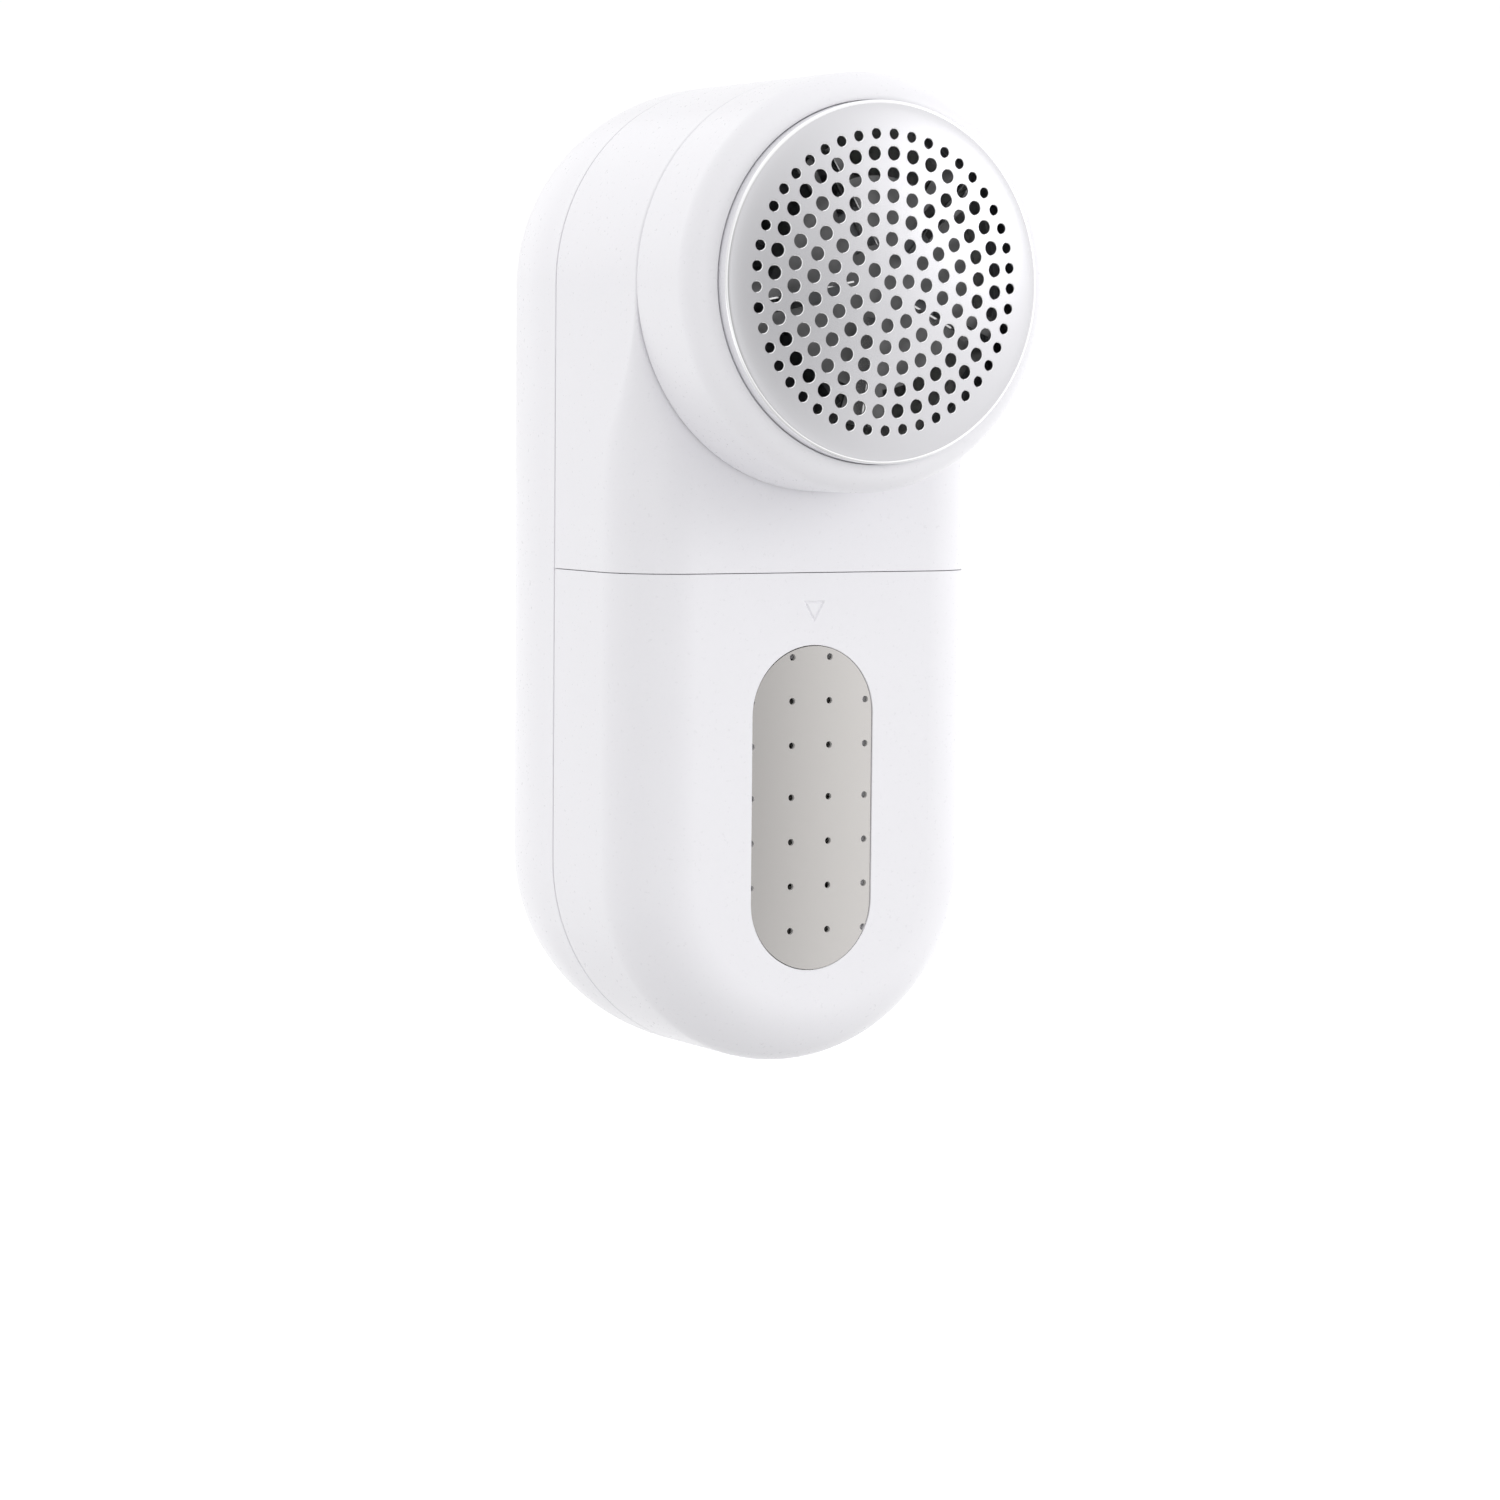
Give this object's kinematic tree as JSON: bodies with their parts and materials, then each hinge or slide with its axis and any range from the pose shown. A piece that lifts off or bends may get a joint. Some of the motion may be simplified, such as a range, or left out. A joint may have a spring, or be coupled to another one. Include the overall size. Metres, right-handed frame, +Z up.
{
  "type": "fabric shaver",
  "caption": "Hand-held fabric shaver: stadium-shaped body, round head with a perforated domed foil over a spinning blade, slide-down lint box and battery door.",
  "frame": {"origin": "middle of the bounding box at the very bottom of the body", "axes": "+Z up along the body, -Y is the front that the foil faces, +X is the right side seen from the front"},
  "size_m": [0.06, 0.0715, 0.145],
  "materials": {
    "shell_white": "moulded, satin gloss",
    "inner_white": "moulded, matte",
    "grey_plastic": "moulded, fine texture",
    "black_plastic": "moulded, matte",
    "rubber": "soft, matte",
    "vent_steel": "fine vertical brushing",
    "foil_steel": "satin face, polished wall",
    "blade_steel": "ground, bright cutting edges",
    "zinc_steel": "zinc plated",
    "brass": "drawn, bright",
    "filter_cloth": "fine woven screen",
    "capacitor": "dipped",
    "cell_wrap": "shrink-wrapped label without text",
    "lead_red": "insulated wire",
    "lead_blue": "insulated wire"
  },
  "bodies": {
    "housing": {"front_housing": "shell_white", "rear_housing": "shell_white", "inner_frame": "inner_white", "fan_chamber": "inner_white", "chute_seal": "rubber", "motor_can": "zinc_steel", "motor_bush": "brass", "motor_end_cap": "black_plastic", "motor_grommet": "rubber", "motor_terminal_left": "brass", "motor_terminal_right": "brass", "motor_capacitor": "capacitor", "battery_tray": "inner_white", "contact_bridge": "zinc_steel", "contact_plate_left": "zinc_steel", "contact_plate_right": "zinc_steel", "battery_spring_left": "zinc_steel", "battery_spring_right": "zinc_steel", "battery_cell_left": "cell_wrap", "battery_cell_right": "cell_wrap", "switch_body": "black_plastic", "lead_battery_switch": "lead_red", "lead_switch_motor": "lead_red", "lead_motor_battery": "lead_blue", "frame_screw_upper_left": "zinc_steel", "frame_screw_upper_right": "zinc_steel", "frame_screw_lower_left": "zinc_steel", "frame_screw_lower_right": "zinc_steel", "housing_screw_left": "zinc_steel", "housing_screw_right": "zinc_steel", "chamber_screw_left": "zinc_steel", "chamber_screw_right": "zinc_steel", "motor_screw_lower": "zinc_steel", "motor_screw_upper": "zinc_steel"},
    "lint_box": {"lint_box": "shell_white", "lint_box_back": "inner_white", "vent_plate": "vent_steel", "filter_frame": "grey_plastic", "filter_screen": "filter_cloth"},
    "head": {"head_collar": "shell_white", "shaving_foil": "foil_steel", "foil_retainer": "grey_plastic"},
    "rotor": {"motor_shaft": "zinc_steel", "shaft_collar": "brass", "blade_spring": "zinc_steel", "suction_fan": "grey_plastic"},
    "cutter": {"cutter_blade": "blade_steel", "blade_carrier": "grey_plastic"},
    "battery_door": {"battery_door": "shell_white"},
    "power_switch": {"switch_knob": "grey_plastic", "switch_slider": "black_plastic"}
  },
  "joints": [
    {"name": "lint_box_slide", "type": "slide", "parent": "housing", "child": "lint_box", "axis": [0, 0, -1], "range_m": [0, 0.038]},
    {"name": "head_twist", "type": "hinge", "parent": "housing", "child": "head", "pos_m": [0, -0.01525, 0.115], "axis": [0, -1, 0], "range_deg": [0, 25]},
    {"name": "blade_spin", "type": "hinge", "parent": "housing", "child": "rotor", "pos_m": [0, -0.01525, 0.115], "axis": [0, -1, 0], "continuous": true},
    {"name": "blade_float", "type": "slide", "parent": "rotor", "child": "cutter", "axis": [0, 1, 0], "range_m": [0, 0.0008], "stiffness_N_per_m": 300, "springref_m": -0.002},
    {"name": "battery_door_hinge", "type": "hinge", "parent": "housing", "child": "battery_door", "pos_m": [0, 0.03575, 0.0163], "axis": [-1, 0, 0], "range_deg": [0, 95]},
    {"name": "power_switch_slide", "type": "slide", "parent": "housing", "child": "power_switch", "axis": [0, 0, 1], "range_m": [0, 0.005]}
  ]
}
